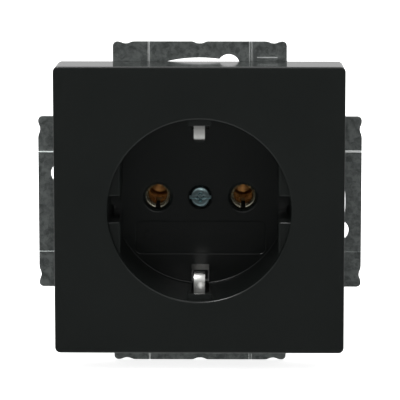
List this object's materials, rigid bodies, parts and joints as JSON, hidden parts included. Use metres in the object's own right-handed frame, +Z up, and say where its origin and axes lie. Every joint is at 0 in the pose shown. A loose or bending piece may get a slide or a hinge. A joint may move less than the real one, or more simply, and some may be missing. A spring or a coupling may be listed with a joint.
{
  "type": "flush wall socket insert",
  "caption": "Square black centre plate with a round earthed socket well, on a galvanised steel mounting ring, with contacts, terminals and spreading claws behind",
  "frame": {"origin": "centre of the mounting ring's back face, on the wall plane", "axes": "+X right seen from the front, +Y into the wall, +Z up; the plate's front faces -Y"},
  "size_m": [0.071, 0.0441, 0.071],
  "materials": {
    "black_plastic": "fine matt moulded black plastic",
    "galvanised_steel": "dull mottled galvanised sheet",
    "zinc_screw": "blue-bright zinc plating",
    "nickel_clip": "bright plated spring metal, drawn lengthwise",
    "rivet_metal": "plated rivet",
    "strap_metal": "dull plated strip",
    "contact_brass": "drawn brass",
    "base_plastic": "light grey moulded plastic",
    "lever_plastic": "off-white moulded plastic",
    "spring_steel": "bright spring steel"
  },
  "bodies": {
    "root": {"mounting_ring": "galvanised_steel", "base_body": "base_plastic", "rear_cover": "base_plastic", "earth_strap": "strap_metal", "line_contact": "contact_brass", "neutral_contact": "contact_brass", "ring_rivet_upper_left": "rivet_metal", "ring_rivet_upper_right": "rivet_metal", "ring_rivet_lower_left": "rivet_metal", "ring_rivet_lower_right": "rivet_metal", "rear_rivet_upper": "rivet_metal", "rear_rivet_lower": "rivet_metal"},
    "cover": {"cover_plate": "black_plastic"},
    "cover_screw": {"cover_screw": "zinc_screw"},
    "earth_clip_top": {"earth_clip_top": "nickel_clip"},
    "earth_clip_bottom": {"earth_clip_bottom": "nickel_clip"},
    "line_leaf_left": {"line_leaf_left": "contact_brass"},
    "line_leaf_right": {"line_leaf_right": "contact_brass"},
    "neutral_leaf_left": {"neutral_leaf_left": "contact_brass"},
    "neutral_leaf_right": {"neutral_leaf_right": "contact_brass"},
    "line_spring": {"line_spring": "spring_steel"},
    "neutral_spring": {"neutral_spring": "spring_steel"},
    "earth_spring": {"earth_spring": "spring_steel"},
    "line_release": {"line_release": "lever_plastic"},
    "neutral_release": {"neutral_release": "lever_plastic"},
    "earth_release": {"earth_release": "lever_plastic"},
    "claw_left": {"claw_left": "galvanised_steel"},
    "claw_right": {"claw_right": "galvanised_steel"},
    "claw_screw_left": {"claw_screw_left": "zinc_screw"},
    "claw_screw_right": {"claw_screw_right": "zinc_screw"}
  },
  "joints": [
    {"name": "cover_lift", "type": "slide", "parent": "root", "child": "cover", "axis": [0, -1, 0], "range_m": [0, 0.0065]},
    {"name": "cover_screw_turn", "type": "hinge", "parent": "cover", "child": "cover_screw", "pos_m": [0, 0.0062, 0], "axis": [0, 1, 0], "range_deg": [-4700, 0]},
    {"name": "claw_screw_left_turn", "type": "hinge", "parent": "root", "child": "claw_screw_left", "pos_m": [-0.0252, -0.0013, 0], "axis": [0, 1, 0], "range_deg": [0, 960]},
    {"name": "claw_left_spread", "type": "hinge", "parent": "root", "child": "claw_left", "pos_m": [-0.0213, 0.0116, 0], "axis": [0, 0, 1], "range_deg": [0, 20.1]},
    {"name": "claw_screw_right_turn", "type": "hinge", "parent": "root", "child": "claw_screw_right", "pos_m": [0.0252, -0.0013, 0], "axis": [0, 1, 0], "range_deg": [0, 960]},
    {"name": "claw_right_spread", "type": "hinge", "parent": "root", "child": "claw_right", "pos_m": [0.0213, 0.0116, 0], "axis": [0, 0, -1], "range_deg": [0, 20.1]},
    {"name": "earth_clip_top_flex", "type": "hinge", "parent": "root", "child": "earth_clip_top", "pos_m": [0, 0.0126, 0.018], "axis": [-1, 0, 0], "range_deg": [0, 4], "stiffness_Nm_per_rad": 0.5},
    {"name": "earth_clip_bottom_flex", "type": "hinge", "parent": "root", "child": "earth_clip_bottom", "pos_m": [0, 0.0126, -0.018], "axis": [1, 0, 0], "range_deg": [0, 4], "stiffness_Nm_per_rad": 0.5},
    {"name": "line_leaf_left_flex", "type": "hinge", "parent": "root", "child": "line_leaf_left", "pos_m": [-0.01215, 0.0192, 0], "axis": [0, 0, -1], "range_deg": [0, 1.5], "stiffness_Nm_per_rad": 0.5},
    {"name": "line_leaf_right_flex", "type": "hinge", "parent": "root", "child": "line_leaf_right", "pos_m": [-0.00685, 0.0192, 0], "axis": [0, 0, 1], "range_deg": [0, 1.5], "stiffness_Nm_per_rad": 0.5},
    {"name": "neutral_leaf_left_flex", "type": "hinge", "parent": "root", "child": "neutral_leaf_left", "pos_m": [0.00685, 0.0192, 0], "axis": [0, 0, -1], "range_deg": [0, 1.5], "stiffness_Nm_per_rad": 0.5},
    {"name": "neutral_leaf_right_flex", "type": "hinge", "parent": "root", "child": "neutral_leaf_right", "pos_m": [0.01215, 0.0192, 0], "axis": [0, 0, 1], "range_deg": [0, 1.5], "stiffness_Nm_per_rad": 0.5},
    {"name": "line_release_push", "type": "slide", "parent": "root", "child": "line_release", "axis": [0, -1, 0], "range_m": [0, 0.0012], "stiffness_N_per_m": 800},
    {"name": "line_spring_flex", "type": "hinge", "parent": "root", "child": "line_spring", "pos_m": [-0.0124, 0.02, 0.006], "axis": [1, 0, 0], "range_deg": [0, 20.1]},
    {"name": "neutral_release_push", "type": "slide", "parent": "root", "child": "neutral_release", "axis": [0, -1, 0], "range_m": [0, 0.0012], "stiffness_N_per_m": 800},
    {"name": "neutral_spring_flex", "type": "hinge", "parent": "root", "child": "neutral_spring", "pos_m": [0.0124, 0.02, 0.006], "axis": [1, 0, 0], "range_deg": [0, 20.1]},
    {"name": "earth_release_push", "type": "slide", "parent": "root", "child": "earth_release", "axis": [0, -1, 0], "range_m": [0, 0.0012], "stiffness_N_per_m": 800},
    {"name": "earth_spring_flex", "type": "hinge", "parent": "root", "child": "earth_spring", "pos_m": [0, 0.02, 0.006], "axis": [1, 0, 0], "range_deg": [0, 20.1]}
  ],
  "couplings": [
    {"joint": "cover_screw_turn", "follows": "cover_lift", "rad_per_m": -12566},
    {"joint": "claw_left_spread", "follows": "claw_screw_left_turn", "ratio": 0.020833},
    {"joint": "claw_right_spread", "follows": "claw_screw_right_turn", "ratio": 0.020833},
    {"joint": "line_spring_flex", "follows": "line_release_push", "rad_per_m": 290.8},
    {"joint": "neutral_spring_flex", "follows": "neutral_release_push", "rad_per_m": 290.8},
    {"joint": "earth_spring_flex", "follows": "earth_release_push", "rad_per_m": 290.8}
  ]
}
